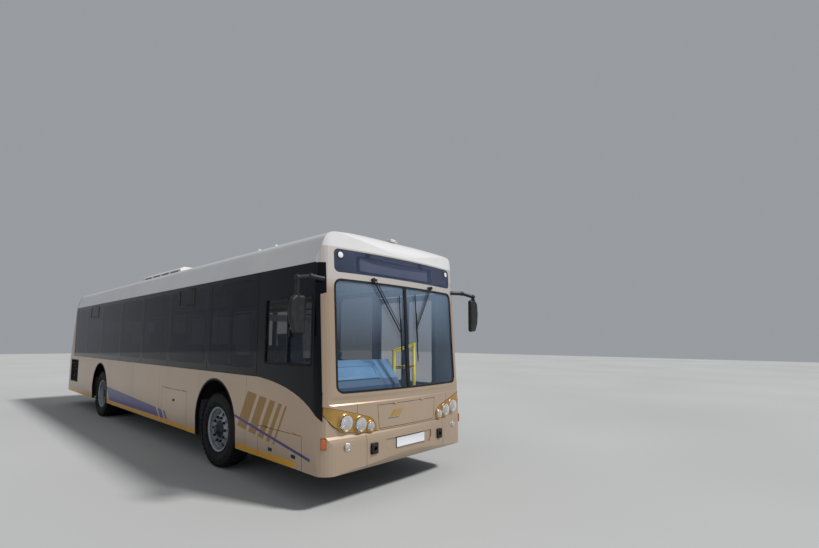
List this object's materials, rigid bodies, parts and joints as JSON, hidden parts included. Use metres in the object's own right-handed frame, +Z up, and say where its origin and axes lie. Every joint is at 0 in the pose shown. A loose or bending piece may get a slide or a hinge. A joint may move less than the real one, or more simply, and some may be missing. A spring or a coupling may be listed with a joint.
{
  "type": "airport passenger bus",
  "caption": "Airport apron bus with a bowed front, tall windscreen, dark glass band, turning door leaves, steered front wheels, twin rear tyres and hinged flaps.",
  "frame": {"origin": "on the ground below the middle of the bus, at half its length and half its width", "axes": "+X runs forward along the bus, +Y to its left side, +Z up"},
  "size_m": [11.8991, 3.1694, 3.27],
  "materials": {
    "champagne_paint": "metallic gloss",
    "roof_white": "gloss",
    "black_glass": "tinted bonded glass, gloss",
    "clear_glass": "clear laminated",
    "lamp_gold": "metallic satin",
    "lamp_lens": "clear moulded",
    "red_lens": "moulded lens",
    "black_trim": "fine grain",
    "seal_rubber": "matt",
    "mirror_grey": "fine grain",
    "chassis_black": "satin",
    "cast_grey": "as cast, painted",
    "engine_grey": "painted",
    "tank_alu": "satin",
    "floor_grey": "studded sheet on plywood",
    "rim_silver": "silver paint",
    "tyre_black": "matt",
    "dash_blue": "grained",
    "wheel_black": "grained",
    "seat_fabric": "woven",
    "panel_grey": "laminate",
    "rail_yellow": "powder coat",
    "door_dark": "satin"
  },
  "bodies": {
    "coach": {"chassis_frame": "chassis_black", "front_axle": "cast_grey", "rear_axle": "cast_grey", "engine": "engine_grey", "tanks": "tank_alu", "floor": "floor_grey", "side_right": "champagne_paint", "side_left": "champagne_paint", "roof": "roof_white", "front_dome": "roof_white", "roof_units": "roof_white", "front_mask": "champagne_paint", "bumper": "champagne_paint", "tow_sockets": "black_trim", "headlamps": "lamp_gold", "lamp_lenses": "lamp_lens", "windscreen": "clear_glass", "window_seals": "seal_rubber", "sign_board": "black_trim", "sign_glass": "clear_glass", "side_glass": "black_glass", "cab_panels": "black_glass", "driver_window": "clear_glass", "rear_end": "champagne_paint", "rear_bumper": "champagne_paint", "rear_window": "clear_glass", "rear_lamps": "red_lens", "side_grille": "black_trim", "mirrors": "mirror_grey", "wipers": "black_trim", "dashboard": "dash_blue", "steering_wheel": "wheel_black", "seats": "seat_fabric", "partition": "panel_grey", "handrails": "rail_yellow"},
    "knuckle_r": {"knuckle_right": "cast_grey"},
    "knuckle_l": {"knuckle_left": "cast_grey"},
    "wheel_front_right": {"rim_front_right": "rim_silver", "tyre_front_right": "tyre_black"},
    "wheel_front_left": {"rim_front_left": "rim_silver", "tyre_front_left": "tyre_black"},
    "wheels_rear_right": {"rims_rear_right": "rim_silver", "tyres_rear_right": "tyre_black"},
    "wheels_rear_left": {"rims_rear_left": "rim_silver", "tyres_rear_left": "tyre_black"},
    "front_leaf_fore": {"front_door_fore": "door_dark", "front_door_fore_glass": "clear_glass"},
    "front_leaf_aft": {"front_door_aft": "door_dark", "front_door_aft_glass": "clear_glass"},
    "mid_leaf_fore": {"mid_door_fore": "door_dark", "mid_door_fore_glass": "clear_glass"},
    "mid_leaf_aft": {"mid_door_aft": "door_dark", "mid_door_aft_glass": "clear_glass"},
    "hood": {"engine_hood": "champagne_paint"},
    "side_service_flap": {"service_flap": "champagne_paint"},
    "side_corner_flap": {"corner_flap": "champagne_paint"},
    "nose_flap": {"front_flap": "champagne_paint"}
  },
  "joints": [
    {"name": "steer_right", "type": "hinge", "parent": "coach", "child": "knuckle_r", "pos_m": [3.35, -0.948, 0.522], "axis": [0, 0, 1], "range_deg": [-42, 42]},
    {"name": "steer_left", "type": "hinge", "parent": "coach", "child": "knuckle_l", "pos_m": [3.35, 0.948, 0.522], "axis": [0, 0, 1], "range_deg": [-42, 42]},
    {"name": "spin_front_right", "type": "hinge", "parent": "knuckle_r", "child": "wheel_front_right", "pos_m": [3.35, -1.078, 0.522], "axis": [0, 1, 0], "continuous": true},
    {"name": "spin_front_left", "type": "hinge", "parent": "knuckle_l", "child": "wheel_front_left", "pos_m": [3.35, 1.078, 0.522], "axis": [0, 1, 0], "continuous": true},
    {"name": "spin_rear_right", "type": "hinge", "parent": "coach", "child": "wheels_rear_right", "pos_m": [-2.6, -1.078, 0.522], "axis": [0, 1, 0], "continuous": true},
    {"name": "spin_rear_left", "type": "hinge", "parent": "coach", "child": "wheels_rear_left", "pos_m": [-2.6, 1.078, 0.522], "axis": [0, 1, 0], "continuous": true},
    {"name": "front_door_fore_turn", "type": "hinge", "parent": "coach", "child": "front_leaf_fore", "pos_m": [5.358, 1.255, 0.395], "axis": [0, 0, 1], "range_deg": [0, 90]},
    {"name": "front_door_aft_turn", "type": "hinge", "parent": "coach", "child": "front_leaf_aft", "pos_m": [4.142, 1.255, 0.395], "axis": [0, 0, 1], "range_deg": [-90, 0]},
    {"name": "mid_door_fore_turn", "type": "hinge", "parent": "coach", "child": "mid_leaf_fore", "pos_m": [1.433, 1.255, 0.395], "axis": [0, 0, 1], "range_deg": [0, 90]},
    {"name": "mid_door_aft_turn", "type": "hinge", "parent": "coach", "child": "mid_leaf_aft", "pos_m": [0.217, 1.255, 0.395], "axis": [0, 0, 1], "range_deg": [-90, 0]},
    {"name": "hood_lift", "type": "hinge", "parent": "coach", "child": "hood", "pos_m": [-5.907, 0, 1.29], "axis": [0, 1, 0], "range_deg": [0, 75]},
    {"name": "service_flap_lift", "type": "hinge", "parent": "coach", "child": "side_service_flap", "pos_m": [1.875, -1.277, 0.98], "axis": [-1, 0, 0], "range_deg": [0, 90]},
    {"name": "corner_flap_lift", "type": "hinge", "parent": "coach", "child": "side_corner_flap", "pos_m": [5.01, -1.277, 0.75], "axis": [-1, 0, 0], "range_deg": [0, 90]},
    {"name": "nose_flap_lift", "type": "hinge", "parent": "coach", "child": "nose_flap", "pos_m": [5.925, 0, 1.06], "axis": [0, -1, 0], "range_deg": [0, 75]}
  ],
  "couplings": [
    {"joint": "steer_left", "follows": "steer_right", "ratio": 1},
    {"joint": "front_door_aft_turn", "follows": "front_door_fore_turn", "ratio": -1},
    {"joint": "mid_door_aft_turn", "follows": "mid_door_fore_turn", "ratio": -1}
  ]
}
